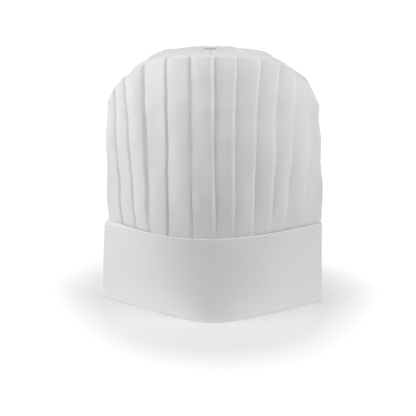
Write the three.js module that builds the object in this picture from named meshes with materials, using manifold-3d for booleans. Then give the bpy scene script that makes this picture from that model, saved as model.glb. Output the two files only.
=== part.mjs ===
// A disposable chef hat: a tall crown of thin non-woven sheet laid in knife pleats, gathered to the middle
// of its top and held there by one wire staple, in a plain paper head band closed by a glued lap at the back.
//
// Millimetres, +Z up. The origin is the middle of the band's lower edge, on the surface that the hat stands on.
// The front faces -Y, and the band's two pressed side folds lie at -X and +X.

import * as THREE from 'three';
import * as BufferGeometryUtils from 'three/addons/utils/BufferGeometryUtils.js';
import Module from 'manifold-3d';

const { lerp, clamp, euclideanModulo } = THREE.MathUtils;

// ---------------------------------------------------------------- driving dimensions

const headSize = 580;           // the length of the band round the head
const halfRound = headSize / 2;
const bandHeight = 97;
const gap = 0.3;                // between two pieces that meet

// The plan outline of the hat is a lens: two halves that meet in the side folds. left and right are the widths to
// the folds at -X and +X and depth is how deep a half is, all to the outside; rounding is near 0 for a
// straight-flanked V and 1 or more for a soft bow, apex moves the furthest point of the front sideways (as a part
// of the width), and shift moves the whole outline in X.
const bandSections = [
  { z: 0, left: 128.4, right: 128.4, depth: 66.0, rounding: 0.19, apex: -0.01, shift: 0 },
  { z: bandHeight, left: 124.4, right: 124.4, depth: 67.5, rounding: 0.91, apex: -0.09, shift: -1.8 },
];

const band = {
  wall: 1.6,                    // the strip with its rolled upper edge
  chords: 28,                   // in each half of the outline
  levels: 5,
  lapMiddle: 2.6,               // a place on the outline (see placeOnOutline), 58 mm from the side fold at -X
  lapWidth: 18,
  lapEdge: 0.6,                 // the width in which the lap's end rises to its full thickness
};

const crown = {
  wall: 1.1,
  foot: 72,                     // the foot is tucked this high above the band's lower edge
  sideGap: 3.8,                 // how much narrower than the band the tucked foot is at a side fold
  frontGap: 2.3,                // and at the front
  foldDepthAtBand: 1.6,         // how far a fold stands proud of the panel beside it
  foldDepth: 3.2,
  foldDepthRise: 60,            // the height above the band over which the folds open to their full depth
  foldSlope: 1.4,               // the width of the slope from a fold down to the next panel
  panelPoints: 5,               // across one panel
  wallHeights: [bandHeight, 102, 120, 148, 178, 208],   // rows of points up the wall; the turn comes after them
  turn: 5,                      // the length of each arm of the rounded turn from wall to top
  turnChords: 3,
  topLevels: [0.3, 0.55, 0.78, 0.92],   // parts of the way from the turn to the gathered middle
  topWall: 1.4,                 // measured straight down
  gatherWall: 2.4,              // the layers that lie on each other round the staple
  gatherRadius: 34,
  flatRadius: 70,               // within this distance of the staple the folds flatten out
};

const crownSections = [
  tuckedSection(crown.foot),
  tuckedSection(bandHeight),
  { z: 102, left: 121.4, right: 126.2, depth: 65.7, rounding: 0.93, apex: -0.08, shift: -1.8 },
  { z: 120, left: 121.8, right: 126.0, depth: 65.5, rounding: 0.98, apex: -0.07, shift: -2.0 },
  { z: 150, left: 121.4, right: 123.7, depth: 65.5, rounding: 1.07, apex: -0.04, shift: -2.3 },
  { z: 185, left: 119.8, right: 120.2, depth: 65.1, rounding: 1.18, apex: -0.02, shift: -3.3 },
  { z: 223, left: 117.3, right: 117.4, depth: 64.5, rounding: 1.3, apex: 0, shift: -4.7 },
  { z: 295, left: 116.5, right: 116.5, depth: 62.5, rounding: 1.6, apex: 0, shift: -5.6 },
];

// The height at which the wall turns over into the top falls with the plan distance from the rim's own middle:
// height - drop * (distance / reach) ^ steepness, and it is a little higher towards +X.
const rim = { height: 295.5, drop: 66.5, reach: 117, steepness: 3.45, tilt: 1.7, shift: -5.3 };

// The gathered middle of the top. From the rim the top rises to it along 1 - (1 - part) ^ rounding.
const gather = { x: -9, y: 0, z: 289, rounding: 1.7 };

// The folds of the front, from the side fold at -X to the one at +X. A place is a part of the half outline,
// -1 at one side fold, 0 in the middle and 1 at the other: where the fold leaves the band, and where it turns
// over the rim. The pleats of the front spread upwards, so the outer ones pass the side folds. lift is how much
// higher than the rim a fold turns over.
const frontFolds = [
  { atBand: -0.97, atRim: -1.04, lift: 1 },
  { atBand: -0.82, atRim: -0.90, lift: 1 },
  { atBand: -0.66, atRim: -0.78, lift: 0 },
  { atBand: -0.52, atRim: -0.58, lift: 0 },
  { atBand: -0.36, atRim: -0.38, lift: 1 },
  { atBand: -0.17, atRim: -0.19, lift: 0 },
  { atBand: 0.00, atRim: -0.02, lift: 0 },
  { atBand: 0.145, atRim: 0.16, lift: 0 },
  { atBand: 0.30, atRim: 0.35, lift: 0 },
  { atBand: 0.46, atRim: 0.53, lift: 0 },
  { atBand: 0.59, atRim: 0.71, lift: 0 },
  { atBand: 0.765, atRim: 0.90, lift: 1 },
  { atBand: 0.92, atRim: 1.06, lift: 5 },
];
const backFoldCount = 11;       // evenly pitched

const staple = {
  wire: 0.6,
  width: 12.5,                  // over its two legs
  height: 4.8,                  // from its back to the underside of its turned ends
  turnedEnd: 4.2,
  bend: 0.4,                    // the inner radius of its bends
};

const finishes = {
  band: { color: 0xdedee0, roughness: 0.9, metalness: 0 },
  crown: { color: 0xdcdde2, roughness: 0.95, metalness: 0 },
  staple: { color: 0xb4b5b8, roughness: 0.35, metalness: 0.9 },
};

// ---------------------------------------------------------------- outlines in plan

// The row of a table at a height, every column blended between the rows below and above.
function sectionAt(table, z) {
  let upper = 1;
  while (upper < table.length - 1 && table[upper].z < z) upper += 1;
  const low = table[upper - 1];
  const high = table[upper];
  const part = clamp((z - low.z) / (high.z - low.z), 0, 1);
  const row = {};
  for (const column of Object.keys(low)) row[column] = lerp(low[column], high[column], part);
  return row;
}

// The crown's outline inside the band.
function tuckedSection(z) {
  const row = sectionAt(bandSections, z);
  row.left -= crown.sideGap;
  row.right -= crown.sideGap;
  row.depth -= crown.frontGap;
  return row;
}

// How deep the half outline is at q, a part of the width: 1 at the apex and 0 at the side folds.
function bow(q, rounding, apex) {
  const leaned = q - apex * (1 - q * q);
  const edge = Math.hypot(1, rounding);
  return (edge - Math.hypot(leaned, rounding)) / (edge - rounding);
}

const outlines = new Map();

// The front half of an outline as points, with the length run up to each of them.
function halfOutline(section) {
  const key = Object.values(section).join();
  if (!outlines.has(key)) {
    const chords = 160;
    const points = [];
    const lengths = [0];
    for (let i = 0; i <= chords; i += 1) {
      const q = (2 * i) / chords - 1;
      const y = -section.depth * bow(q, section.rounding, section.apex);
      points.push(new THREE.Vector2((q < 0 ? section.left : section.right) * q, y));
      if (i > 0) lengths.push(lengths[i - 1] + points[i].distanceTo(points[i - 1]));
    }
    outlines.set(key, { lengths, points });
  }
  return outlines.get(key);
}

// The point at a place on an outline. Places run with its length: the front from -1 at the side fold at -X to 1
// at the one at +X, and the back on from 1 to 3, which is -1 again.
function placeOnOutline(section, place) {
  const turned = euclideanModulo(place + 1, 4) - 1;
  const isBack = turned > 1;
  const { lengths, points } = halfOutline(section);
  const wanted = (((isBack ? 2 - turned : turned) + 1) / 2) * lengths[lengths.length - 1];
  let upper = 1;
  while (upper < lengths.length - 1 && lengths[upper] < wanted) upper += 1;
  const part = (wanted - lengths[upper - 1]) / (lengths[upper] - lengths[upper - 1]);
  const point = points[upper - 1].clone().lerp(points[upper], part);
  if (isBack) point.y = -point.y;
  point.x += section.shift;
  return point;
}

// The outward direction in plan at a place, and how squarely it faces the outline on either side of a corner.
function outwards(section, place) {
  const small = 0.002;
  const point = placeOnOutline(section, place);
  const ahead = placeOnOutline(section, place + small).sub(point).normalize();
  const behind = point.clone().sub(placeOnOutline(section, place - small)).normalize();
  const direction = new THREE.Vector2(ahead.y + behind.y, -ahead.x - behind.x).normalize();
  return { direction, facing: direction.x * ahead.y - direction.y * ahead.x };
}

// ---------------------------------------------------------------- closed walls from rings of points

// The faces between rings of points that all run the same way round, from the lowest ring up.
function ringFaces(first, rings, columns) {
  const faces = [];
  for (let row = 0; row < rings - 1; row += 1) {
    for (let column = 0; column < columns; column += 1) {
      const next = (column + 1) % columns;
      const a = first + row * columns + column;
      const b = first + row * columns + next;
      faces.push(a, b, b + columns, a, b + columns, a + columns);
    }
  }
  return faces;
}

// The faces between two rings of different grids.
function bridgeFaces(from, to, columns) {
  const faces = [];
  for (let column = 0; column < columns; column += 1) {
    const next = (column + 1) % columns;
    faces.push(from + column, from + next, to + next, from + column, to + next, to + column);
  }
  return faces;
}

function turnedOver(faces) {
  const turned = [];
  for (let i = 0; i < faces.length; i += 3) turned.push(faces[i], faces[i + 2], faces[i + 1]);
  return turned;
}

function geometryOf(points, faces) {
  const geometry = new THREE.BufferGeometry();
  const numbers = points.flatMap((point) => [point.x, point.y, point.z]);
  geometry.setAttribute('position', new THREE.Float32BufferAttribute(numbers, 3));
  geometry.setIndex(faces);
  return geometry;
}

// For each point of a wall, the point that lies a thickness inside it: inwards along the mean of the normals of
// the faces beside it, and further where they meet at a sharp fold.
function insidePoints(points, faces, thickness) {
  const inwards = points.map(() => new THREE.Vector3());
  const besides = points.map(() => []);
  for (let i = 0; i < faces.length; i += 3) {
    const corners = faces.slice(i, i + 3);
    const [a, b, c] = corners.map((corner) => points[corner]);
    const normal = b.clone().sub(a).cross(c.clone().sub(a)).normalize();
    for (const corner of corners) {
      inwards[corner].sub(normal);
      besides[corner].push(normal);
    }
  }
  const leastFacing = 0.62;
  return points.map((point, i) => {
    inwards[i].normalize();
    const facing = Math.min(...besides[i].map((normal) => -inwards[i].dot(normal)));
    return point.clone().addScaledVector(inwards[i], thickness / Math.max(facing, leastFacing));
  });
}

// ---------------------------------------------------------------- cuts

const wasm = await Module();
wasm.setup();

function solidOf(geometry) {
  const bare = geometry.clone();
  bare.deleteAttribute('normal');
  bare.deleteAttribute('uv');
  const merged = BufferGeometryUtils.mergeVertices(bare);
  const vertProperties = new Float32Array(merged.attributes.position.array);
  const triVerts = new Uint32Array(merged.index.array);
  return new wasm.Manifold(new wasm.Mesh({ numProp: 3, vertProperties, triVerts }));
}

function geometryOfSolid(solid) {
  const { vertProperties, triVerts } = solid.getMesh();
  const geometry = new THREE.BufferGeometry();
  geometry.setAttribute('position', new THREE.BufferAttribute(vertProperties, 3));
  geometry.setIndex(new THREE.BufferAttribute(triVerts, 1));
  return geometry;
}

// ---------------------------------------------------------------- band

// The places of the band's points: evenly round the outline, and closer on both sides of each end of the lap.
function bandPlaces() {
  const places = [];
  for (let i = 0; i < 2 * band.chords; i += 1) places.push(-1 + (2 * i) / band.chords);
  for (const side of [-1, 1]) {
    for (const edge of [-band.lapEdge, band.lapEdge]) {
      places.push(band.lapMiddle + (side * band.lapWidth + edge) / halfRound);
    }
  }
  return places.sort((a, b) => a - b);
}

// The lap adds one thickness of the strip where its end is glued over its beginning.
function lapThickness(place) {
  return Math.abs(place - band.lapMiddle) * halfRound < band.lapWidth ? band.wall : 0;
}

function makeBand() {
  const places = bandPlaces();
  const outer = [];
  const inner = [];
  for (let level = 0; level <= band.levels; level += 1) {
    const z = (bandHeight * level) / band.levels;
    const section = sectionAt(bandSections, z);
    for (const place of places) {
      const point = placeOnOutline(section, place);
      const { direction, facing } = outwards(section, place);
      const out = point.clone().addScaledVector(direction, lapThickness(place));
      const inside = point.clone().addScaledVector(direction, -band.wall / facing);
      outer.push(new THREE.Vector3(out.x, out.y, z));
      inner.push(new THREE.Vector3(inside.x, inside.y, z));
    }
  }
  const columns = places.length;
  const rings = band.levels + 1;
  const topRing = band.levels * columns;
  const faces = [
    ...ringFaces(0, rings, columns),
    ...turnedOver(ringFaces(outer.length, rings, columns)),
    ...bridgeFaces(outer.length, 0, columns),
    ...bridgeFaces(topRing, outer.length + topRing, columns),
  ];
  return geometryOf([...outer, ...inner], faces);
}

// ---------------------------------------------------------------- crown

function rimHeight(point) {
  const distance = Math.hypot(point.x - rim.shift, point.y) / rim.reach;
  return rim.height - rim.drop * distance ** rim.steepness + (rim.tilt * (point.x - rim.shift)) / rim.reach;
}

// The height at which the outline at a place meets the rim's height, closed in on by halving the step.
function turnHeight(place) {
  let low = bandHeight;
  let high = rim.height;
  for (let step = 0; step < 24; step += 1) {
    const z = (low + high) / 2;
    if (rimHeight(placeOnOutline(sectionAt(crownSections, z), place)) > z) low = z;
    else high = z;
  }
  return low;
}

// All folds round the hat, those of the front and the evenly pitched ones of the back.
function allFolds() {
  const first = frontFolds[0];
  const last = frontFolds[frontFolds.length - 1];
  const folds = [...frontFolds];
  for (let i = 1; i <= backFoldCount; i += 1) {
    const part = i / (backFoldCount + 1);
    folds.push({
      atBand: lerp(last.atBand, first.atBand + 4, part),
      atRim: lerp(last.atRim, first.atRim + 4, part),
      lift: lerp(last.lift, first.lift, Math.min(1, 3 * part)),
    });
  }
  return folds;
}

// The columns of points up the crown. A panel starts low, beside the fold of the panel before it (across is 0),
// and ends in its own fold, which stands proud (across is 1).
function crownColumns() {
  const slope = (2 * crown.foldSlope) / halfRound;
  const folds = allFolds();
  return folds.flatMap((fold, i) => {
    const before = folds.at(i - 1);
    const turn = i === 0 ? 4 : 0;
    const columns = [];
    for (let j = 0; j < crown.panelPoints; j += 1) {
      const across = j / (crown.panelPoints - 1);
      columns.push({
        across,
        atBand: lerp(before.atBand - turn + slope, fold.atBand, across),
        atRim: lerp(before.atRim - turn + slope, fold.atRim, across),
        lift: lerp(before.lift, fold.lift, across),
      });
    }
    return columns;
  });
}

// A point of the wall, with the low parts of the panels set back into the crown.
function wallPoint(column, z, turnZ) {
  const part = clamp((z - bandHeight) / (turnZ - bandHeight), 0, 1);
  const place = lerp(column.atBand, column.atRim, part);
  const section = sectionAt(crownSections, z);
  const open = clamp((z - bandHeight) / crown.foldDepthRise, 0, 1);
  const depth = lerp(crown.foldDepthAtBand, crown.foldDepth, open) * (1 - column.across);
  const point = placeOnOutline(section, place).addScaledVector(outwards(section, place).direction, -depth);
  return new THREE.Vector3(point.x, point.y, z);
}

// A point of the top, at a part of the way from the turn to the gathered middle.
function topPoint(column, start, part) {
  const x = lerp(start.x, gather.x, part);
  const y = lerp(start.y, gather.y, part);
  const flat = Math.min(1, Math.hypot(x - gather.x, y - gather.y) / crown.flatRadius);
  const z = lerp(start.z, gather.z, 1 - (1 - part) ** gather.rounding);
  return new THREE.Vector3(x, y, z - crown.foldDepth * flat * (1 - column.across));
}

// One column of the crown, from its foot to just before the gathered middle.
function columnPoints(column) {
  const turnZ = turnHeight(column.atRim) + column.lift;
  const corner = wallPoint(column, turnZ, turnZ);
  const wallEnd = wallPoint(column, turnZ - crown.turn, turnZ);
  const topStartPart = crown.turn / Math.hypot(corner.x - gather.x, corner.y - gather.y);
  const topStart = topPoint(column, corner, topStartPart);
  const heights = [crown.foot, ...crown.wallHeights];
  const points = heights.map((z) => wallPoint(column, z, turnZ));
  points.push(...new THREE.QuadraticBezierCurve3(wallEnd, corner, topStart).getPoints(crown.turnChords));
  points.push(...crown.topLevels.map((part) => topPoint(column, corner, part)));
  return points;
}

function makeCrown() {
  const columns = crownColumns().map(columnPoints);
  const rings = columns[0].length;
  const outer = [];
  for (let row = 0; row < rings; row += 1) outer.push(...columns.map((points) => points[row]));
  const pole = outer.length;
  const firstTopRow = rings - crown.topLevels.length;
  const lastRing = pole - columns.length;
  outer.push(new THREE.Vector3(gather.x, gather.y, gather.z));

  const shell = ringFaces(0, rings, columns.length);
  for (let column = 0; column < columns.length; column += 1) {
    shell.push(lastRing + column, lastRing + ((column + 1) % columns.length), pole);
  }
  const inner = insidePoints(outer, shell, crown.wall);
  inner.slice(0, columns.length).forEach((point) => { point.z = crown.foot; });
  for (let i = firstTopRow * columns.length; i < outer.length; i += 1) {
    const distance = Math.hypot(outer[i].x - gather.x, outer[i].y - gather.y);
    const layers = lerp(crown.gatherWall, crown.topWall, Math.min(1, distance / crown.gatherRadius));
    inner[i].copy(outer[i]).z -= layers;
  }
  const lining = turnedOver(shell).map((corner) => corner + outer.length);
  const faces = [...shell, ...lining, ...bridgeFaces(outer.length, 0, columns.length)];
  const wall = solidOf(geometryOf([...outer, ...inner], faces));
  return geometryOfSolid(legHoles().reduce((solid, hole) => solid.subtract(hole), wall));
}

// ---------------------------------------------------------------- staple

const legOffset = (staple.width - staple.wire) / 2;

// The two holes in the gathered pleats that the staple's legs pass through.
function legHoles() {
  const side = staple.wire + 2 * gap;
  return [-1, 1].map((end) => {
    const hole = new THREE.BoxGeometry(side, side, 4 * staple.height);
    hole.translate(gather.x + end * legOffset, gather.y, gather.z);
    return solidOf(hole);
  });
}

// The staple as a flat outline, extruded by the wire's thickness: the back lies on the crown, and the legs'
// ends are turned towards each other under it.
function makeStaple() {
  const half = staple.width / 2;
  const inside = half - staple.wire;
  const low = staple.wire - staple.height;
  const end = half - staple.turnedEnd;
  const radius = staple.bend;
  const outline = new THREE.Shape();
  outline.moveTo(-end, low);
  outline.lineTo(-end, low - staple.wire);
  outline.lineTo(-half + radius, low - staple.wire);
  outline.quadraticCurveTo(-half, low - staple.wire, -half, low - staple.wire + radius);
  outline.lineTo(-half, staple.wire - radius);
  outline.quadraticCurveTo(-half, staple.wire, -half + radius, staple.wire);
  outline.lineTo(half - radius, staple.wire);
  outline.quadraticCurveTo(half, staple.wire, half, staple.wire - radius);
  outline.lineTo(half, low - staple.wire + radius);
  outline.quadraticCurveTo(half, low - staple.wire, half - radius, low - staple.wire);
  outline.lineTo(end, low - staple.wire);
  outline.lineTo(end, low);
  outline.lineTo(inside, low);
  outline.lineTo(inside, 0);
  outline.lineTo(-inside, 0);
  outline.lineTo(-inside, low);
  outline.closePath();
  const geometry = new THREE.ExtrudeGeometry(outline, {
    depth: staple.wire,
    bevelEnabled: false,
    curveSegments: 3,
  });
  geometry.translate(0, 0, -staple.wire / 2);
  return geometry;
}

// ---------------------------------------------------------------- the hat

function addPiece(name, geometry) {
  const mesh = new THREE.Mesh(geometry, new THREE.MeshStandardMaterial(finishes[name]));
  mesh.name = name;
  hat.add(mesh);
  return mesh;
}

const hat = new THREE.Group();
addPiece('band', makeBand());
addPiece('crown', makeCrown());
const stapleMesh = addPiece('staple', makeStaple());
stapleMesh.rotation.x = Math.PI / 2;
stapleMesh.position.set(gather.x, gather.y, gather.z + gap);

export default hat;
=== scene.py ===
# A disposable chef hat of thin white non-woven sheet: a knife-pleated crown, gathered and stapled at the
# top, in a plain paper head band. Sizes in the dictionaries are in millimetres unless a note says otherwise.
# The hat stands on z = 0 with its front towards -Y.

import math
from types import SimpleNamespace

import bpy
import numpy as np
from mathutils import Matrix, Vector


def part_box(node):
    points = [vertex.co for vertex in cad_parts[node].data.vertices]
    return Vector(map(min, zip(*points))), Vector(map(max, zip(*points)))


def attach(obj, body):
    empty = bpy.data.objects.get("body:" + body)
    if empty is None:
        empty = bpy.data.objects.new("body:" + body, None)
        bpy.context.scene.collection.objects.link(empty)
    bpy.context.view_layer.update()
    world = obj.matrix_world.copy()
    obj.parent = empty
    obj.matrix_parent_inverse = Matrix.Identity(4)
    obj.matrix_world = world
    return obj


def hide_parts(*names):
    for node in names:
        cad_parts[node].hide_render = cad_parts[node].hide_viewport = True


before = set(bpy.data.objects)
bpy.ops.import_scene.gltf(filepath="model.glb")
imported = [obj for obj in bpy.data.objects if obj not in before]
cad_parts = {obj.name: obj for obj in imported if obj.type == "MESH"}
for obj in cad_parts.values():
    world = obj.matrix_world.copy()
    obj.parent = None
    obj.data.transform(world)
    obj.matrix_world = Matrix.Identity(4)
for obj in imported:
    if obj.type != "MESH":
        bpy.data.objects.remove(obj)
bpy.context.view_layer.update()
mm = 0.001
bandBox, crownBox, stapleBox = [np.array(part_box(node)) / mm for node in ("band", "crown", "staple")]
bandTop = bandBox[1][2]
crownFoot = crownBox[0][2]
print("frame loaded:", sorted(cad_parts))


cameraSetup = dict(
    lens=65.86,
    sensor=36.0,
    place=(-17.7, -829.9, 352.9),
    down=16.19,                        # degrees below level
    turn=-0.678,                       # degrees about z, from straight at +Y
    roll=1.16,                         # degrees
    clip=(0.01, 50.0),                 # metres
)


def makeCamera(setup):
    data = bpy.data.cameras.new("camera")
    data.lens = setup["lens"]
    data.sensor_width = setup["sensor"]
    data.clip_start, data.clip_end = setup["clip"]
    camera = bpy.data.objects.new("camera", data)
    bpy.context.scene.collection.objects.link(camera)
    turn = Matrix.Rotation(math.radians(setup["turn"]), 4, "Z")
    tilt = Matrix.Rotation(math.radians(90.0 - setup["down"]), 4, "X")
    roll = Matrix.Rotation(math.radians(setup["roll"]), 4, "Z")
    camera.matrix_world = Matrix.Translation([v * mm for v in setup["place"]]) @ turn @ tilt @ roll
    bpy.context.scene.camera = camera


makeCamera(cameraSetup)
print("camera in place")


# places run with the length of the hat's outline: -1 at the left side fold, 0 in the middle of the front,
# 1 at the right side fold, and on round the back to 3, which is -1 again
onceRound = 4.0
placeLength = 143.0                    # millimetres of outline for one unit of place

# the hat's outside in plan, with a number for each height in z: a lens of two halves that meet in the
# side folds
bandOutline = dict(
    z=[0.0, bandTop],
    left=[128.4, 124.4],               # width from the middle to the left side fold
    right=[128.4, 124.4],
    depth=[66.0, 67.5],                # how deep a half is
    rounding=[0.19, 0.91],             # near 0 a straight-flanked V, 1 and more a soft bow
    apex=[-0.01, -0.09],               # where the front's furthest point is, as a share of the width
    shift=[0.0, -1.8],                 # of the whole outline, in x
)
crownOutline = dict(
    z=[crownFoot, bandTop, bandTop + 5.0, 120.0, 150.0, 185.0, 223.0, 295.0],
    left=[119.2, 119.6, 120.2, 121.2, 121.4, 119.7, 116.4, 115.5],
    right=[122.4, 124.3, 125.8, 126.2, 122.9, 120.6, 117.5, 117.0],
    depth=[65.4, 66.1, 66.1, 66.0, 65.6, 65.1, 64.5, 62.5],
    rounding=[0.72, 0.91, 0.93, 0.98, 1.07, 1.18, 1.3, 1.6],
    apex=[-0.07, -0.09, -0.08, -0.07, -0.04, -0.02, 0.0, 0.0],
    shift=[-1.3, -1.8, -1.8, -2.0, -2.3, -3.3, -4.7, -5.6],
)


# depth of a half outline at q, a share of the width: with w = q - apex (1 - q squared), it is
# (hypot(1, rounding) - hypot(w, rounding)) / (hypot(1, rounding) - rounding), so 1 at the apex and 0 at the
# side folds
def bowDepth(q, rounding, apex):
    leaned = q - apex * (1.0 - q * q)
    edge = np.hypot(1.0, rounding)
    return (edge - np.hypot(leaned, rounding)) / (edge - rounding)


class Outline:
    # the front half at a stack of heights, as tables of x and y over height and place
    def __init__(self, columns, lowest, highest, rows=90, steps=321):
        self.heights = np.linspace(lowest, highest, rows)
        self.places = np.linspace(-1.0, 1.0, steps)
        z = columns["z"]
        at = {name: np.interp(self.heights, z, column)[:, None] for name, column in columns.items()}
        q = np.linspace(-1.0, 1.0, 2 * steps - 1)[None, :]
        x = np.where(q < 0.0, at["left"], at["right"]) * q
        y = -at["depth"] * bowDepth(q, at["rounding"], at["apex"])
        run = np.cumsum(np.hypot(np.diff(x), np.diff(y)), axis=1)
        run = np.hstack([np.zeros((len(run), 1)), run])
        run = 2.0 * run / run[:, -1:] - 1.0
        self.x = np.array([np.interp(self.places, r, row) for r, row in zip(run, x)]) + at["shift"]
        self.y = np.array([np.interp(self.places, r, row) for r, row in zip(run, y)])

    # x and y at places and heights, straight between the four nearest entries; the back mirrors the front
    def at(self, place, z):
        turned = (place + 1.0) % onceRound - 1.0
        back = turned > 1.0
        column = (np.where(back, 2.0 - turned, turned) + 1.0) / 2.0 * (len(self.places) - 1)
        row = (z - self.heights[0]) / (self.heights[-1] - self.heights[0]) * (len(self.heights) - 1)
        column = np.clip(column, 0, len(self.places) - 1.001)      # just short of the last entry
        row = np.clip(row, 0, len(self.heights) - 1.001)
        c, r = column.astype(int), row.astype(int)
        fc, fr = column - c, row - r
        found = []
        for table in (self.x, self.y):
            low = table[r, c] * (1 - fc) + table[r, c + 1] * fc
            high = table[r + 1, c] * (1 - fc) + table[r + 1, c + 1] * fc
            found.append(low * (1 - fr) + high * fr)
        return found[0], np.where(back, -found[1], found[1])

    # the outward direction in plan, from the points a little before and after
    def outward(self, place, z, reach=0.012):
        x0, y0 = self.at(place - reach, z)
        x1, y1 = self.at(place + reach, z)
        length = np.hypot(x1 - x0, y1 - y0)
        return (y1 - y0) / length, -(x1 - x0) / length


# 0 up to low, 1 from high on, and 3 t squared - 2 t cubed between them
def smoothStep(value, low, high):
    t = np.clip((value - low) / (high - low), 0.0, 1.0)
    return t * t * (3.0 - 2.0 * t)


# the band's slow unevenness, which the crown's foot follows: a sum of waves in place and height. For each of
# them: how deep, radians in one unit of place, height for one radian, and its start
bandWaves = ((0.35, 2.3, 30.0, 0.0), (0.25, 5.1, -19.0, 1.0))


def bandWave(place, z):
    return sum(deep * np.sin(place * rate + z / height + start) for deep, rate, height, start in bandWaves)


# the sheet's own coordinates: across it from the lengths along one row, and along it from the lengths up
# each column
def sheetCoordinates(points, row):
    run = np.linalg.norm(np.diff(points[row], axis=0), axis=1)
    across = np.concatenate([[0.0], np.cumsum(run)])
    steps = np.linalg.norm(np.diff(points, axis=0), axis=2)
    along = np.vstack([np.zeros((1, points.shape[1])), np.cumsum(steps, axis=0)])
    return across, along


# a sheet from a grid of points: rows run up, columns run round, closed joins the last column to the first,
# and poleLast closes the top with a fan of triangles
def sheetMesh(name, points, across, along, closed, poleLast=False):
    rows, columns = points.shape[:2]
    index = np.arange(rows * columns).reshape(rows, columns)
    following = np.roll(index, -1, axis=1) if closed else index[:, 1:]
    here = index if closed else index[:, :-1]
    wide = here.shape[1]
    quads = np.stack([here[:-1], following[:-1], following[1:], here[1:]], axis=-1).reshape(-1, 4)
    vertices = points.reshape(-1, 3) * mm
    faces = quads.tolist()

    # the sheet's coordinates at each face's corners
    def cornersAt(us, vs):
        return np.stack([np.stack(pair, axis=-1) for pair in zip(us, vs)], axis=-2).reshape(-1, 2)

    nextAcross = np.append(across[1:], 2 * across[-1] - across[-2])
    u0, u1 = [np.broadcast_to(u, (rows, columns))[:, :wide] for u in (across, nextAcross)]
    v = along[:, :wide]
    uv = cornersAt((u0[:-1], u1[:-1], u1[1:], u0[1:]), (v[:-1], v[:-1], v[1:], v[1:]))
    if poleLast:
        pole = points[-1].mean(axis=0) * mm
        vertices = np.vstack([vertices, pole])
        tops = np.stack([here[-1], following[-1], np.full(wide, rows * columns)], axis=-1)
        faces += tops.tolist()
        end = along[-1].mean() + np.ones(wide)         # the pole counts as 1 mm further
        uv = np.vstack([uv, cornersAt((u0[-1], u1[-1], (u0[-1] + u1[-1]) / 2), (v[-1], v[-1], end))])
    mesh = bpy.data.meshes.new(name)
    mesh.from_pydata(vertices.tolist(), [], faces)
    layer = mesh.uv_layers.new(name="sheet")
    layer.data.foreach_set("uv", (uv * mm).astype(np.float32).ravel())
    mesh.polygons.foreach_set("use_smooth", np.ones(len(mesh.polygons), dtype=bool))
    mesh.update()
    piece = bpy.data.objects.new(name, mesh)
    bpy.context.scene.collection.objects.link(piece)
    return piece


# a number at each point, for the materials
def addMark(piece, name, values):
    mark = piece.data.attributes.new(name, "FLOAT", "POINT")
    mark.data.foreach_set("value", values.astype(np.float32).ravel())


# the sheet's second side, inwards of the points
def addThickness(piece, thickness):
    solidify = piece.modifiers.new("thickness", "SOLIDIFY")
    solidify.thickness = thickness * mm
    solidify.offset = -1.0


# the folds of the front, from the left side fold to the right one. For each of them:
# - atBand and atRim: the places where it leaves the band and where it turns over the rim
# - depth: how deep it is at its full depth
# - edge and after: the lengths over which its edge bends down before the line and runs out after it
# - easeIn and easeOut: how gently that curve begins and ends, 1 being at once
# - lift: how much it raises the rim
# - arch, belly and puff: how much the panel before it arches the rim, bellies out on the wall, and rises on
#   the top
frontFolds = dict(
    atBand=[-1.05, -0.825, -0.666, -0.54, -0.37, -0.177, -0.012, 0.145, 0.30, 0.46, 0.59, 0.765, 1.075],
    atRim=[-1.10, -0.905, -0.79, -0.605, -0.385, -0.197, -0.027, 0.16, 0.35, 0.53, 0.71, 0.90, 1.14],
    depth=[0.9, 1.4, 1.6, 2.4, 1.9, 2.1, 4.0, 1.8, 1.7, 1.7, 1.5, 1.2, 0.6],
    edge=[0.6, 0.6, 0.7, 1.2, 0.6, 0.7, 0.9, 3.5, 4.5, 5.5, 5.0, 4.0, 2.0],
    after=[2.0, 2.3, 2.6, 5.0, 2.8, 3.0, 6.0, 3.5, 3.0, 2.5, 2.5, 2.0, 1.2],
    easeIn=[1.0, 1.0, 1.0, 1.1, 1.0, 1.0, 1.0, 1.5, 1.7, 1.8, 1.8, 1.7, 1.5],
    easeOut=[1.7, 1.7, 1.8, 1.7, 1.8, 1.8, 1.8, 1.8, 1.6, 1.5, 1.5, 1.5, 1.4],
    lift=[1.0, 2.5, 1.5, 0.4, 1.0, 0.0, 0.0, 0.0, 0.0, 0.0, 0.0, 0.4, 7.5],
    arch=[0.5, 0.5, 0.5, 0.0, 0.4, 0.8, 0.5, 0.5, 0.8, 0.8, 0.5, -0.5, 1.2],
    belly=[0.3, 0.4, 0.6, 0.8, 0.4, 0.7, 0.6, 0.5, 0.9, 0.6, 0.5, 0.4, 0.3],
    puff=[1.0, 2.0, 1.5, 1.2, 2.0, 1.0, 1.0, 1.0, 1.5, 2.5, 1.5, 0.2, 2.0],
)
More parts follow.
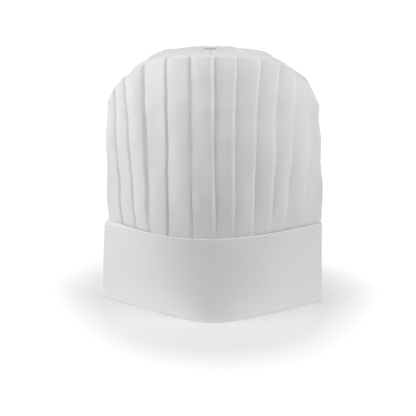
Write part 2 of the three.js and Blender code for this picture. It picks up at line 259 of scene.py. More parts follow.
# those of the back go on from the last of the front, evenly pitched
backFolds = dict(
    depth=[1.4, 2.6, 2.0, 2.9, 1.7, 2.4, 2.8, 1.9, 2.5, 2.7, 1.6],
    edge=[1.5, 3.0, 1.2, 4.0, 0.9, 2.4, 3.8, 1.4, 3.0, 2.0, 1.2],
    after=[1.8, 2.4, 2.8, 2.2, 2.5, 3.0, 2.6, 3.0, 2.2, 2.6, 2.0],
    easeIn=[1.2, 1.5, 1.1, 1.6, 1.0, 1.4, 1.7, 1.2, 1.5, 1.3, 1.1],
    easeOut=[1.6, 1.5, 1.8, 1.4, 1.7, 1.6, 1.5, 1.8, 1.5, 1.6, 1.7],
    lift=[1.2, 0.5, 2.0, 0.0, 0.5, 0.0, 0.5, 0.0, 2.8, 0.0, 1.0],
    arch=[0.8, 0.5, 2.0, 0.5, 0.5, 0.5, 0.5, 0.5, 0.0, 2.0, 1.0],
    belly=[0.5, 0.3, 0.8, 0.6, 0.4, 0.9, 0.5, 0.3, 0.7, 0.6, 0.4],
    puff=[2.0, 1.0, 2.0, 1.0, 1.5, 0.5, 1.0, 1.5, 1.0, 0.0, 1.0],
)
crownShape = dict(
    underlap=9.0,                      # how far each pleat folds back under itself
    underlapAtSides=0.45,              # share of that beside the side creases
    besideSides=0.1,                   # the folds this near one, in places, count as beside it
    foot=0.98,                         # depth of the layer that runs back under, as a share of the fold's
    hidden=(1.20, 1.40),               # and of the hidden layer's middle and end
    atCrease=0.15,                     # share of the pleats' depth and unevenness left on a side crease
    creaseReach=0.06,                  # places over which that fades
    depthAtBand=0.6,                   # a fold is pressed to this depth where it leaves the band
    openRise=35.0,                     # height over which it opens to full depth
    depthOnTop=0.45,                   # its depth on the pressed top
    pressed=9.0,                       # the way in from the rim over which it is pressed down
    edgeAtEnds=0.8,                    # share of the edges' lengths that is left at the band and at the rim
    edgeSwell=0.6,                     # below 1, the edges soon have their full length in between
    sway=((0.12, 17.0), (0.28, 41.0)),  # two waves of the fold lines: how wide, and height for one radian
    swayFrom=(97.0, 130.0),            # heights over which they grow in
    bellies=1.2,                       # the folds' bellies are taken times this
    bellyFrom=(98.0, 150.0),
    panelWave=(0.35, 23.0),            # a wave up each panel: how deep, and height for one radian
    crumple=0.5,                       # height of the soft unevenness of the sheet
    crumpleFrom=(97.0, 125.0),
    turn=3.0,                          # arms of the turn from wall to top
    rimHeight=295.5,                   # the height of the rim falls from this over its own middle
    rimDrop=66.5,                      # by this at the reach
    rimReach=117.0,
    rimSteepness=3.45,                 # the power of the distance with which it falls
    rimTilt=1.7,                       # and it is this much higher on the right at the reach
    rimShift=-5.3,                     # its middle's x
    gatherRounding=1.7,                # above 1, the top rises at once from the rim, then flattens
    gatherStop=0.985,                  # part of the way to the middle at which the rows stop
    topSpacing=0.9,                    # below 1, they are closer together towards the middle
    puffLean=0.7,                      # below 1, a panel's rise is highest nearer the rim
    flatRadius=70.0,                   # nearer the middle than this the folds flatten out
    flattest=0.15,                     # to this share of their depth
    dimple=(0.3, 9.0),                 # the hollow that the staple pulls: how deep, and its radius
    lowest=2.0,                        # the outline's tables reach this far below the foot
    highest=298.0,
    # heights of the wall's rows over the band's edge, where they are close together
    lowRows=[80.0, 90.0, 95.5, 97.2, 98.2, 99.4, 100.8, 102.6, 105.0, 108.5, 113.0],
    evenRows=33,                       # from there up to the turn
    turnRows=5,
    topRows=26,
    middleRow=22,                      # the sheet's length is measured along this one
    layersFrom=(0.52, 0.72),           # parts of a panel between which the pleat's other layers begin
    thickness=0.2,
)


# the folds' numbers all the way round, and where on their waves the fold lines start
def allFolds():
    count = len(backFolds["depth"])
    table = {}
    for name, column in frontFolds.items():
        front = np.array(column)
        even = front[-1] + (front[0] + onceRound - front[-1]) * np.arange(1, count + 1) / (count + 1)
        table[name] = np.concatenate([front, backFolds.get(name, even)])
    table["waver"] = np.random.default_rng(11).uniform(0.0, 2.0 * math.pi, (3, len(table["depth"])))
    return table


# the stations of one pleat, along the sheet: the part hidden under the fold before, the panel, the edge
# that rounds down to the panel after, the layer that runs back under, and the hidden fold. In each row:
# - part: of the way from the fold before to this one
# - slide: millimetres slid along from there, and shares of the lengths edge and after slid along
# - down: how far down the edge's curve
# - depth: as a share of the fold's; owner is 1 if it is this fold's, and 0 if it is that of the fold before
# - isPanel: 1 on the panel
def pleatStations(shape):
    under, foot = shape["underlap"], shape["foot"]
    middle, end = shape["hidden"]
    rows = [(0.0, 0.6 - under, 0.0, 0.0, 0.0, end, 0, 0)]
    rows += [(0.0, -0.5 * under, 0.0, 0.0, 0.0, middle, 0, 0)]
    # the panel comes out evenly from the depth of the fold before
    for part in (0.0, 0.04, 0.09, 0.17, 0.28, 0.42, 0.56, 0.70, 0.82, 0.92, 1.0):
        rows += [(part, 0.0, -part, 0.0, 0.0, min(1.0, 1.05 * (1.0 - part)), 0, 1)]
    for down in (0.13, 0.28, 0.44, 0.60, 0.75, 0.89, 1.0):
        rows += [(1.0, 0.0, down - 1.0, down, down, 0.0, 1, 0)]
    rows += [(1.0, -0.3, 0.0, 1.0, 0.0, foot + 0.01, 1, 0)]
    rows += [(1.0, -0.40 * under, 0.0, 0.0, 0.0, foot + 0.16, 1, 0)]
    rows += [(1.0, -0.85 * under, 0.0, 0.0, 0.0, foot + 0.38, 1, 0)]
    rows += [(1.0, -under - 0.2, 0.0, 0.0, 0.0, end, 1, 0)]
    rows += [(1.0, -under - 0.1, 0.0, 0.0, 0.0, end + 0.01, 1, 0)]
    names = ("part", "slide", "edgeSlide", "afterSlide", "down", "depth", "owner", "isPanel")
    return {name: np.array(column) for name, column in zip(names, zip(*rows))}


# rimHeight - rimDrop * (distance from its middle / rimReach) ^ rimSteepness, tilted along x
def rimHeightAt(shape, x, y):
    distance = np.hypot(x - shape["rimShift"], y) / shape["rimReach"]
    tilt = shape["rimTilt"] * (x - shape["rimShift"]) / shape["rimReach"]
    return shape["rimHeight"] - shape["rimDrop"] * distance ** shape["rimSteepness"] + tilt


# the height where the outline and the rim meet, closed in on by averaging from a first guess
def turnHeights(shape, outline, place, guess=260.0, rounds=40):
    z = np.full(place.shape, guess)
    for step in range(rounds):
        x, y = outline.at(place, z)
        z = 0.5 * (z + rimHeightAt(shape, x, y))
    return z


# soft unevenness: a sum of slanting waves in place and height, each of its own length, slant and start, as
# high as it is long, and with a whole number of waves round the hat
def crumpleAt(place, z):
    rng = np.random.default_rng(5)
    total = np.zeros(np.broadcast(place, z).shape)
    for length in (26.0, 34.0, 47.0, 63.0, 88.0, 120.0):     # one of 60 counts as 1 high
        slant, start = rng.uniform(0.0, math.pi), rng.uniform(0.0, 2.0 * math.pi)
        rate = 2.0 * math.pi / length
        wavesRound = np.round(onceRound * placeLength * rate * math.cos(slant) / (2.0 * math.pi))
        rateRound = wavesRound * math.pi / 2.0
        total += np.sin(place * rateRound + z * rate * math.sin(slant) + start) * length / 60.0
    return total


# the numbers of each column of the crown's grid, one column for each station of each pleat: those of its
# station and of its folds, with its places at the foot and at the rim
def crownColumns(shape):
    table, stations = allFolds(), pleatStations(shape)
    count, each = len(table["atBand"]), len(stations["part"])
    fold = np.repeat(np.arange(count), each)
    before = (fold - 1) % count
    at = SimpleNamespace(**{name: np.tile(column, count) for name, column in stations.items()})

    def placeBetween(name):
        first, last = table[name][before], table[name][fold]
        first = np.where(fold == 0, first - onceRound, first)
        return first + (last - first) * at.part

    besideCrease = np.abs(np.abs(table["atBand"]) - 1.0) < shape["besideSides"]
    tucked = np.where(besideCrease, shape["underlapAtSides"], 1.0)
    at.slide = at.slide * np.where(at.owner == 1, tucked[fold], tucked[before])
    at.full = np.where(at.owner == 1, table["depth"][fold], table["depth"][before])
    # the edge's curve: u ^ easeIn / (u ^ easeIn + (1 - u) ^ easeOut)
    begun, left = at.down ** table["easeIn"][fold], (1.0 - at.down) ** table["easeOut"][fold]
    at.depth = np.where(at.down > 0.0, shape["foot"] * begun / (begun + left), at.depth)
    at.edge = at.edgeSlide * table["edge"][fold] + at.afterSlide * table["after"][fold]
    at.bow = np.sin(math.pi * at.part) * at.isPanel          # 0 at both sides of a panel, 1 in its middle
    at.belly, at.puff, at.arch = [table[name][fold] * at.bow for name in ("belly", "puff", "arch")]
    at.lift = table["lift"][before] * (1.0 - at.part) ** 2 + table["lift"][fold] * at.part ** 2
    at.waver = table["waver"][:, before] * (1 - at.part) + table["waver"][:, fold] * at.part
    moved = (at.slide + at.edge * shape["edgeAtEnds"]) / placeLength
    at.foot, at.rim = placeBetween("atBand") + moved, placeBetween("atRim") + moved
    return at


# the wall at heights z, with rise 0 at the band and 1 at the turn: columns lean straight from foot to rim,
# and stand in from the outline by the folds' depth and out from it by bellies and unevenness
def crownWall(shape, outline, at, z, rise):
    (fine, fineLength), (slow, slowLength) = shape["sway"]
    sway = fine * np.sin(z / fineLength + at.waver[0]) + slow * np.sin(z / slowLength + at.waver[1])
    sway = sway * smoothStep(z, *shape["swayFrom"])
    swell = np.clip(np.sin(math.pi * rise), 0.0, 1.0) ** shape["edgeSwell"] * (1.0 - shape["edgeAtEnds"])
    place = at.foot * (1.0 - rise) + at.rim * rise + (sway + at.edge * swell) / placeLength
    opened = smoothStep(z, bandTop, bandTop + shape["openRise"])
    depth = np.minimum(shape["depthAtBand"], at.full) * (1.0 - opened) + at.full * opened
    out = -at.depth * depth + at.belly * shape["bellies"] * smoothStep(z, *shape["bellyFrom"])
    wave, waveLength = shape["panelWave"]
    out = out + wave * at.bow * np.sin(z / waveLength + at.waver[2])
    clear = smoothStep(z, *shape["crumpleFrom"])             # of the band
    out = out + shape["crumple"] * crumpleAt(place, z) * clear
    out = out + bandWave(place, bandTop) * (1.0 - clear)
    # less of it at the side creases, where a sharp bend leaves no room
    fromCrease = np.abs(np.abs((place + 2.0) % onceRound - 2.0) - 1.0)
    away = smoothStep(fromCrease, 0.0, shape["creaseReach"])
    out = out * (shape["atCrease"] + (1.0 - shape["atCrease"]) * away)
    x, y = outline.at(place, z)
    nx, ny = outline.outward(place, z)
    return np.stack([x + nx * out, y + ny * out, z + 0.0 * place], axis=-1), depth


# the top, where part is that of the way from the turn's corner to the gathered middle: straight in to it in
# plan, rising along 1 - (1 - part) ^ gatherRounding
def crownTop(shape, at, corner, depthAtCorner, gather, reach, part):
    plan = corner[:, :2] + (gather[:2] - corner[:, :2]) * part[..., None]
    away = np.hypot(plan[..., 0] - gather[0], plan[..., 1] - gather[1])
    flat = np.clip(away / shape["flatRadius"], shape["flattest"], 1.0)
    pressed = smoothStep(part * reach, 0.0, shape["pressed"])
    depth = depthAtCorner + (np.minimum(shape["depthOnTop"], depthAtCorner) - depthAtCorner) * pressed
    hollow, radius = shape["dimple"]
    height = corner[:, 2] + (gather[2] - corner[:, 2]) * (1.0 - (1.0 - part) ** shape["gatherRounding"])
    height = height - at.depth * depth * flat - hollow * np.exp(-(away / radius) ** 2)
    height = height + at.puff * np.sin(math.pi * np.clip(part, 0.0, 1.0) ** shape["puffLean"]) ** 2
    return np.concatenate([plan, height[..., None]], axis=-1)


def crownPoints(shape):
    outline = Outline(crownOutline, crownFoot - shape["lowest"], shape["highest"])
    at = crownColumns(shape)
    turnZ = turnHeights(shape, outline, at.rim) + at.lift + at.arch

    # the wall's rows: from the foot over the band's edge, then even up to the turn
    low = np.array([crownFoot] + shape["lowRows"])[:, None]
    even = np.linspace(0.0, 1.0, shape["evenRows"] + 1)[1:, None]
    upwards = low[-1] + (turnZ - shape["turn"] - low[-1]) * even
    z = np.vstack([np.repeat(low, len(turnZ), axis=1), upwards])
    rise = np.clip((z - bandTop) / (turnZ - bandTop), 0.0, 1.0)
    wall = crownWall(shape, outline, at, z, rise)[0]
    corner, depthAtCorner = crownWall(shape, outline, at, turnZ[None, :], np.ones((1, len(turnZ))))
    corner, depthAtCorner = corner[0], depthAtCorner[0]

    gather = np.array([(stapleBox[0][0] + stapleBox[1][0]) / 2.0, 0.0, crownBox[1][2]])
    reach = np.hypot(corner[:, 0] - gather[0], corner[:, 1] - gather[1])
    start = shape["turn"] / reach
    spacing = np.linspace(0.0, 1.0, shape["topRows"])[:, None] ** shape["topSpacing"]
    part = start + (shape["gatherStop"] - start) * spacing
    top = crownTop(shape, at, corner, depthAtCorner, gather, reach, part)

    # the turn: the wall's end, the corner and the top's start, weighed by (1 - t) squared, 2 t (1 - t) and
    # t squared
    t = np.linspace(0.0, 1.0, shape["turnRows"] + 2)[1:-1, None, None]
    turn = (1 - t) ** 2 * wall[-1] + 2 * t * (1 - t) * corner + t * t * top[0]
    points = np.concatenate([wall, turn, top])
    # the mark for a lighter colour where the pleat's other layers lie under a panel, towards its fold edge:
    # partly those layers' own whiteness and partly a painted highlight before each fold edge
    layeredAndPaintedHighlight = smoothStep(at.part, *shape["layersFrom"])
    return points, np.broadcast_to(layeredAndPaintedHighlight, points.shape[:2])


def makeCrown(shape):
    points, layeredAndPaintedHighlight = crownPoints(shape)
    across, along = sheetCoordinates(points, shape["middleRow"])
    middle = points[shape["middleRow"]]
    width = across[-1] + np.linalg.norm(middle[0] - middle[-1])
    length = float(along[-1].mean())
    piece = sheetMesh("crown_sheet", points, across, along, closed=True, poleLast=True)
    # the layers mark: lighter over the hidden layers, partly their own whiteness and partly a painted
    # highlight before each fold edge
    addMark(piece, "layers", np.append(layeredAndPaintedHighlight, 1.0))
    addThickness(piece, shape["thickness"])
    print("crown sheet %.0f x %.0f mm, %d points" % (width, length, points.shape[0] * points.shape[1]))
    return piece, width, length


crown, sheetWidth, crownLength = makeCrown(crownShape)


bandShape = dict(
    overlap=18.0,                      # of the glued ends
    lapMiddle=2.6,                     # its place, from the middle of the back towards the left side fold
    lapStep=1.7,                       # how far the outer end stands off, over the rolled edge beneath it
    lapEase=(1.0, 9.0),                # how far from the overlap that step ends and begins
    roll=1.3,                          # height of the rolled upper edge's round
    rollAtFolds=0.4,                   # and at the side folds
    rollWide=0.5,                      # its half width, as a share of that
    rollReach=0.7,                     # places from a side fold over which it grows to its full height
    waveFrom=(0.0, 12.0),              # heights over which the slow unevenness grows in
    curlSlope=0.65,                    # how steeply the upper edge leans in at the left side fold
    curlHeight=6.5,                    # how far under the edge it begins to
    curlEase=1.5,                      # the rise in which it gets three quarters as steep as that
    curlReach=(0.48, 0.35),            # places over which the lean dies out, forwards and backwards
    flap=20.0,                         # turned down inside
    closeRows=(8.0, 1.5),              # the rows close up over this height under the edge, by this power
    rows=(21, 11, 9, 6),               # up the wall, close under the edge, round the roll and down inside
    columns=420,
    foldColumns=(-1.2, -0.5, 0.0, 0.5, 1.2),     # more columns, this far from each side fold
    lengthRow=10,                      # the strip's length is measured along this one
    thickness=0.3,
)


# the strip, from its inner end at the lap once round to its outer end: the outline at each height, moved
# inwards along a profile that goes up, round the roll and down again
def bandPoints(shape):
    outline = Outline(bandOutline, 0.0, bandTop)
    start = shape["lapMiddle"] - shape["overlap"] / 2 / placeLength
    end = shape["lapMiddle"] + shape["overlap"] / 2 / placeLength + onceRound
    place = np.linspace(start, end, shape["columns"])
    sideFolds = np.array([-1.0, 1.0]) + onceRound
    place = np.sort(np.concatenate([place] + [sideFolds + d / placeLength for d in shape["foldColumns"]]))
    fromLeft = (place + 1.0 + 2.0) % onceRound - 2.0         # places from the left side fold
    nearest = np.minimum(abs(fromLeft), 2.0 - abs(fromLeft))
    grown = smoothStep(nearest, 0.0, shape["rollReach"])[None, :]
    roll = shape["rollAtFolds"] + (shape["roll"] - shape["rollAtFolds"]) * grown

    # the profile: heights, and how far inside the outline
    straight = bandTop - roll
    close, power = shape["closeRows"]
    wallRows, closeRows, rollRows, flapRows = shape["rows"]
    up = np.vstack([(straight - close) * np.linspace(0.0, 1.0, wallRows + 1)[:-1, None],
                    straight - close * (1.0 - np.linspace(0.0, 1.0, closeRows))[:, None] ** power])
    bend = np.linspace(0.0, math.pi, rollRows + 1)[1:, None]
    down = np.linspace(0.0, shape["flap"], flapRows + 1)[1:, None]
    heights = np.vstack([up, straight + roll * np.sin(bend), straight - down])
    wide = shape["rollWide"] * roll
    inside = np.vstack([0.0 * up, wide * (1.0 - np.cos(bend)), 2.0 * wide + 0.0 * down])

    # the outer end rises over the inner one
    fromEnd = (end - place) * placeLength
    stepEnds, stepBegins = shape["lapEase"]
    lap = 1.0 - smoothStep(fromEnd, shape["overlap"] + stepEnds, shape["overlap"] + stepBegins)
    placeGrid = np.broadcast_to(place[None, :], heights.shape)
    out = shape["lapStep"] * lap[None, :] - inside
    out = out + bandWave(placeGrid, heights) * smoothStep(heights, *shape["waveFrom"])
    x, y = outline.at(placeGrid, heights)
    nx, ny = outline.outward(placeGrid, heights, reach=0.004)

    # the lean at the left side fold: curlSlope * over squared / (over + curlEase)
    forwards, backwards = shape["curlReach"]
    near = np.where(fromLeft > 0, 1.0 - fromLeft / forwards, 1.0 + fromLeft / backwards)[None, :]
    over = np.maximum(heights - bandTop + shape["curlHeight"] * np.clip(near, 0.0, 1.0), 0.0)
    curl = shape["curlSlope"] * over * over / (over + shape["curlEase"])
    points = np.stack([x + nx * out + curl, y + ny * out, heights], axis=-1)
    edge = smoothStep(over, 0.0, 1.0)        # the lip and the roll, where a lighter colour is painted as a highlight
    edge[len(up) - 1:] = 1.0
    return points, edge


def makeBand(shape):
    points, edge = bandPoints(shape)
    across, along = sheetCoordinates(points, shape["lengthRow"])
    length, width = float(across[-1]), float(along[-1].mean())
    piece = sheetMesh("band_strip", points, across, along, closed=False)
    # the mask of the painted highlight on the rolled edge and the lip
    addMark(piece, "edge", edge)
    addThickness(piece, shape["thickness"])
    print("band strip %.0f x %.0f mm" % (length, width))
    return piece, length, width


band, bandLength, bandWidth = makeBand(bandShape)


# a material with the numbers that are the same all over its surface
def newMaterial(name, color, sockets):
    material = bpy.data.materials.new(name)
    material.use_nodes = True
    tree = material.node_tree
    shader = tree.nodes["Principled BSDF"]
    shader.inputs["Base Color"].default_value = (*color, 1.0)
    for socket, value in sockets.items():
        shader.inputs[socket].default_value = value
    return material, tree, shader


# a node with its sockets filled in, by a number or colour or by a link from another node
def newNode(tree, kind, sockets, **settings):
    node = tree.nodes.new("ShaderNode" + kind)
    for name, value in settings.items():
        setattr(node, name, value)
    for name, value in sockets.items():
        if isinstance(value, bpy.types.NodeSocket):
            tree.links.new(value, node.inputs[name])
        else:
            node.inputs[name].default_value = value
    return node


# noise whose grains are about 1 / scale long, stretched and turned
def grains(tree, where, scale, stretch=(1.0, 1.0, 1.0), turn=0.0, detail=2.0):
    turned = newNode(tree, "Mapping", {"Vector": where, "Rotation": (0.0, 0.0, math.radians(turn))})
    placed = newNode(tree, "Mapping", {"Vector": turned.outputs[0], "Scale": stretch})
    noise = newNode(tree, "TexNoise", {"Vector": placed.outputs[0], "Scale": scale, "Detail": detail})
    return noise.outputs[0]


# low to high as the value goes from fromLow to fromHigh
def spread(tree, value, low, high, fromLow=0.3, fromHigh=0.7):
    return newNode(tree, "MapRange", {"Value": value, "From Min": fromLow, "From Max": fromHigh,
                                      "To Min": low, "To Max": high}).outputs[0]


# two values joined by a Math node
def together(tree, operation, first, second):
    return newNode(tree, "Math", {0: first, 1: second}, operation=operation).outputs[0]


def added(tree, first, *others):
    for other in others:
        first = together(tree, "ADD", first, other)
    return first


# a ramp from the first colour at share 0 to the second at 1
def blendColors(tree, share, first, second):
    ramp = newNode(tree, "ValToRGB", {"Fac": share})
    for stop, color in zip(ramp.color_ramp.elements, (first, second)):
        stop.color = (*color, 1.0)
    return ramp.outputs[0]


# bumps, each on the one before: a height, and how deep it counts in metres
def relief(tree, shader, *layers):
    normal = {}
    for height, distance in layers:
        bump = newNode(tree, "Bump", {"Height": height, "Distance": distance, "Strength": 1.0, **normal})
        normal = {"Normal": bump.outputs[0]}
    tree.links.new(normal["Normal"], shader.inputs["Normal"])


# thin non-woven sheet: fine crossed fibres, cloudy density in patches of some millimetres, soft handling
# marks, and a little more white where the layers of a pleat lie under it, partly that stack's own whiteness
# and partly a painted highlight along each panel's side towards its fold edge
nonwovenFinish = dict(
    thin=(0.808, 0.808, 0.809),
    dense=(0.857, 0.857, 0.859),
    fibreScale=2400.0,                 # per metre of sheet, as the other scales
    fibreStretch=(1.0, 0.12, 1.0),
    fibreTurns=(24.0, -37.0, 82.0),    # degrees
    fibreRange=(0.5, 0.8),             # what of their noise counts
    cloudScale=130.0,
    driftScale=16.0,
    dentScale=60.0,
    dentStretch=(1.0, 0.6, 1.0),
    dentTurn=12.0,                     # degrees
    cloudShare=(0.0, 0.34),            # of the way from thin to dense, as the other shares
    driftShare=(0.05, 0.32),
    fibreShare=(-0.06, 0.10),
    # how much whiter over the pleat's hidden layers: partly their own whiteness, partly a painted highlight
    layersAndPaintedHighlightShare=0.16,
    roughness=(0.96, 0.86),            # between the fibres and on them
    fibreDepth=0.00003,                # metres
    dentDepth=0.00045,
    shader={"Roughness": 0.92, "Specular IOR Level": 0.3, "Sheen Weight": 0.08, "Sheen Roughness": 0.6,
            "Subsurface Weight": 0.25, "Subsurface Radius": (1.0, 1.0, 1.0), "Subsurface Scale": 0.0015},
)


def makeNonwoven(finish):
    material, tree, shader = newMaterial("white_nonwoven", finish["dense"], finish["shader"])
    where = newNode(tree, "UVMap", {}, uv_map="sheet").outputs[0]
    first, second, third = [grains(tree, where, finish["fibreScale"], finish["fibreStretch"], turn, 1.0)
                            for turn in finish["fibreTurns"]]
    fibres = together(tree, "MAXIMUM", together(tree, "MAXIMUM", first, second), third)
    clouds = grains(tree, where, finish["cloudScale"], detail=3.0)
    drift = grains(tree, where, finish["driftScale"], detail=1.0)
    dents = grains(tree, where, finish["dentScale"], finish["dentStretch"], finish["dentTurn"], detail=1.5)
    # the layers mark lightens each panel towards its fold edge: partly the layers' own whiteness, partly a
    # painted highlight
    layers = newNode(tree, "Attribute", {}, attribute_name="layers").outputs["Fac"]
    densityAndPaintedHighlight = added(tree, spread(tree, clouds, *finish["cloudShare"]),
                    spread(tree, drift, *finish["driftShare"]),
                    spread(tree, fibres, *finish["fibreShare"], *finish["fibreRange"]),
                    together(tree, "MULTIPLY", layers, finish["layersAndPaintedHighlightShare"]))
    tree.links.new(blendColors(tree, densityAndPaintedHighlight, finish["thin"], finish["dense"]), shader.inputs["Base Color"])
    roughness = spread(tree, fibres, *finish["roughness"], *finish["fibreRange"])
    tree.links.new(roughness, shader.inputs["Roughness"])
    relief(tree, shader, (dents, finish["dentDepth"]), (fibres, finish["fibreDepth"]))
    return material


# the band's stiff paper: matted fibres, a faint grain along the strip and slow mottling, and a lighter
# colour painted on the rolled edge and the lip as a highlight
paperFinish = dict(
    dark=(0.808, 0.811, 0.797),
    light=(0.842, 0.844, 0.833),
    edge=(0.92, 0.92, 0.915),          # painted highlight, where it is rolled and on the lip at the left
    fibreScale=1500.0,                 # per metre of strip, as the other scales
    grainScale=300.0,
    grainStretch=(0.16, 1.0, 1.0),
    mottleScale=28.0,
    fibreShare=(0.0, 0.22),            # of the way from dark to light, as the other shares
    grainShare=(0.0, 0.26),
    mottleShare=(0.05, 0.5),
    roughness=(0.88, 0.78),            # between the fibres and on them
    fibreDepth=0.000025,               # metres
    waveDepth=0.0003,
    shader={"Roughness": 0.85, "Specular IOR Level": 0.35,
            "Subsurface Weight": 0.1, "Subsurface Radius": (1.0, 1.0, 1.0), "Subsurface Scale": 0.001},
)


def makePaper(finish):
    material, tree, shader = newMaterial("band_paper", finish["light"], finish["shader"])
    where = newNode(tree, "UVMap", {}, uv_map="sheet").outputs[0]
    fibres = grains(tree, where, finish["fibreScale"], detail=4.0)
    grain = grains(tree, where, finish["grainScale"], finish["grainStretch"], detail=2.0)
    mottle = grains(tree, where, finish["mottleScale"], detail=2.0)
    tone = added(tree, spread(tree, fibres, *finish["fibreShare"]),
                 spread(tree, grain, *finish["grainShare"]), spread(tree, mottle, *finish["mottleShare"]))
    tone = blendColors(tree, tone, finish["dark"], finish["light"])
    # painted highlight: the rolled edge and the lip get a lighter colour for the light that they catch
    edge = newNode(tree, "Attribute", {}, attribute_name="edge").outputs["Fac"]
    toneWithPaintedHighlight = newNode(tree, "Mix", {0: edge, 6: tone, 7: (*finish["edge"], 1.0)}, data_type="RGBA").outputs[2]
    tree.links.new(toneWithPaintedHighlight, shader.inputs["Base Color"])
    tree.links.new(spread(tree, fibres, *finish["roughness"]), shader.inputs["Roughness"])
    relief(tree, shader, (mottle, finish["waveDepth"]), (fibres, finish["fibreDepth"]))
    return material


# bright steel wire, drawn lengthwise (along x on the staple's back) and a little dulled
wireFinish = dict(
    dull=(0.30, 0.30, 0.31),
    bright=(0.52, 0.52, 0.53),
    drawnScale=1800.0,                 # per metre
    drawnStretch=(0.06, 1.0, 1.0),
    spotScale=700.0,
    drawnShare=(0.0, 0.6),             # of the way from dull to bright
    spotShare=(0.0, 0.4),
    roughness=(0.28, 0.48),
    drawnDepth=0.00001,                # metres
    shader={"Roughness": 0.4, "Metallic": 1.0},
)


def makeWire(finish):
    material, tree, shader = newMaterial("staple_wire", finish["bright"], finish["shader"])
    where = newNode(tree, "TexCoord", {}).outputs["Object"]
    drawn = grains(tree, where, finish["drawnScale"], finish["drawnStretch"], detail=3.0)
    spots = grains(tree, where, finish["spotScale"], detail=2.0)
    tone = added(tree, spread(tree, drawn, *finish["drawnShare"]),
                 spread(tree, spots, *finish["spotShare"]))
    tree.links.new(blendColors(tree, tone, finish["dull"], finish["bright"]), shader.inputs["Base Color"])
    tree.links.new(spread(tree, spots, *finish["roughness"]), shader.inputs["Roughness"])
    relief(tree, shader, (drawn, finish["drawnDepth"]))
    return material


crown.data.materials.append(makeNonwoven(nonwovenFinish))
band.data.materials.append(makePaper(paperFinish))
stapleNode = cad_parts["staple"]
wire = makeWire(wireFinish)
for materialSlot in stapleNode.material_slots:
    materialSlot.material = wire
print("materials done")


floorSetup = dict(
    size=60.0,                         # metres across, so that its edge is out of sight
    color=(0.88, 0.88, 0.88),
    roughness=0.9,
    glow=(0.30, 1.0, 1.9),             # light it gives round the hat: strength, where it fades and ends
    glowReach=(0.128, 0.066),          # half width and half depth, in metres, that count as 1 there
    seen=(0.11, 1.0),                  # whiteness added for the eye alone, near the hat and far off
    seenReach=(0.13, 0.34),            # metres from the middle
)
white = (1.0, 1.0, 1.0, 1.0)


# a pale table: its glow falls with the distance in an ellipse about the hat, and what the camera alone sees
# of it grows towards white with the distance in a circle
def makeFloor(setup):
    mesh = bpy.data.meshes.new("floor")
    half = setup["size"] / 2.0
    corners = [(-half, -half, 0), (half, -half, 0), (half, half, 0), (-half, half, 0)]
    mesh.from_pydata(corners, [], [(0, 1, 2, 3)])
    floor = bpy.data.objects.new("floor", mesh)
    bpy.context.scene.collection.objects.link(floor)
    sockets = {"Roughness": setup["roughness"], "Emission Color": white}
    material, tree, shader = newMaterial("pale_floor", setup["color"], sockets)
    where = newNode(tree, "TexCoord", {}).outputs["Object"]
    strength, fades, ends = setup["glow"]
    wide, deep = setup["glowReach"]
    scaled = newNode(tree, "Mapping", {"Vector": where, "Scale": (1.0 / wide, 1.0 / deep, 0.0)}).outputs[0]
    away = newNode(tree, "VectorMath", {0: scaled}, operation="LENGTH").outputs["Value"]
    glow = spread(tree, away, strength, 0.0, fades, ends)
    far = newNode(tree, "VectorMath", {0: where}, operation="LENGTH").outputs["Value"]
    seen = spread(tree, far, *setup["seen"], *setup["seenReach"])
    toCamera = newNode(tree, "LightPath", {}).outputs["Is Camera Ray"]
    strengths = newNode(tree, "Mix", {0: toCamera, 2: glow, 3: seen}, data_type="FLOAT").outputs[0]
    tree.links.new(strengths, shader.inputs["Emission Strength"])
    mesh.materials.append(material)


# light from the room, by direction: shares that grow upwards and behind
room = dict(above=0.215, behind=0.74)


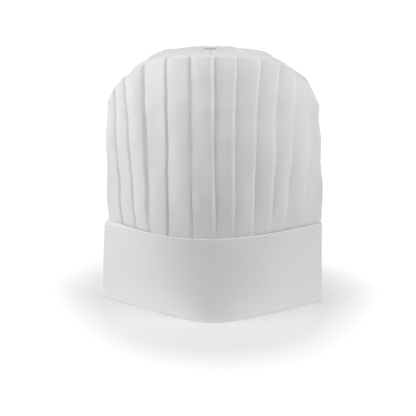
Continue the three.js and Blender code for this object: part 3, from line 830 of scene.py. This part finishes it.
# what lights the hat is above * up + behind * back, and the camera sees plain white
def makeWorld(setup):
    world = bpy.data.worlds.new("studio")
    bpy.context.scene.world = world
    world.use_nodes = True
    tree = world.node_tree
    tree.nodes.clear()
    where = newNode(tree, "TexCoord", {}).outputs["Generated"]
    direction = newNode(tree, "SeparateXYZ", {0: where}).outputs
    above = together(tree, "MULTIPLY", together(tree, "MAXIMUM", direction["Z"], 0.0), setup["above"])
    behind = together(tree, "MULTIPLY", together(tree, "MAXIMUM", direction["Y"], 0.0), setup["behind"])
    lit = newNode(tree, "Background", {"Color": white, "Strength": added(tree, above, behind)})
    seen = newNode(tree, "Background", {"Color": white, "Strength": 1.0})
    toCamera = newNode(tree, "LightPath", {}).outputs["Is Camera Ray"]
    choose = newNode(tree, "MixShader", {0: toCamera, 1: lit.outputs[0], 2: seen.outputs[0]})
    newNode(tree, "OutputWorld", {"Surface": choose.outputs[0]})


# place, aim and size in metres, power in watts, spread in degrees
lights = {
    "left_softbox": dict(place=(-1.2, -0.3, 0.5), aim=(0, 0, 0.15), size=(0.8, 0.8), power=7.6),
    "right_softbox": dict(place=(1.2, -0.3, 0.5), aim=(0, 0, 0.15), size=(0.8, 0.8), power=6.4),
    "top_panel": dict(place=(0.0, -0.3, 0.62), aim=(0, 0, 0.25), size=(0.3, 0.2), power=0.075),
    "top_left_panel": dict(place=(-0.32, -0.22, 0.55), aim=(0, 0, 0.22), size=(0.2, 0.2), power=0.6),
    "top_right_panel": dict(place=(0.32, -0.22, 0.55), aim=(0, 0, 0.22), size=(0.2, 0.2), power=0.51),
    "crown_spot": dict(place=(0.0, -0.45, 0.5), aim=(0, 0, 0.31), size=(0.15, 0.1), power=0.03, spread=45),
}


def makeLight(name, place, aim, size, power, spread=180.0):
    data = bpy.data.lights.new(name, "AREA")
    data.shape = "RECTANGLE"
    data.size, data.size_y = size
    data.energy = power
    data.spread = math.radians(spread)
    light = bpy.data.objects.new(name, data)
    light.visible_camera = False
    bpy.context.scene.collection.objects.link(light)
    light.location = place
    towards = np.array(aim) - np.array(place)
    light.rotation_mode = "QUATERNION"
    light.rotation_quaternion = Vector(towards).to_track_quat("-Z", "Y")


makeFloor(floorSetup)
makeWorld(room)
for name, light in lights.items():
    makeLight(name, **light)
bpy.context.scene.view_settings.view_transform = "Standard"
print("floor, room and lights done")


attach(crown, "root")
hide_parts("crown")
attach(band, "root")
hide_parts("band")
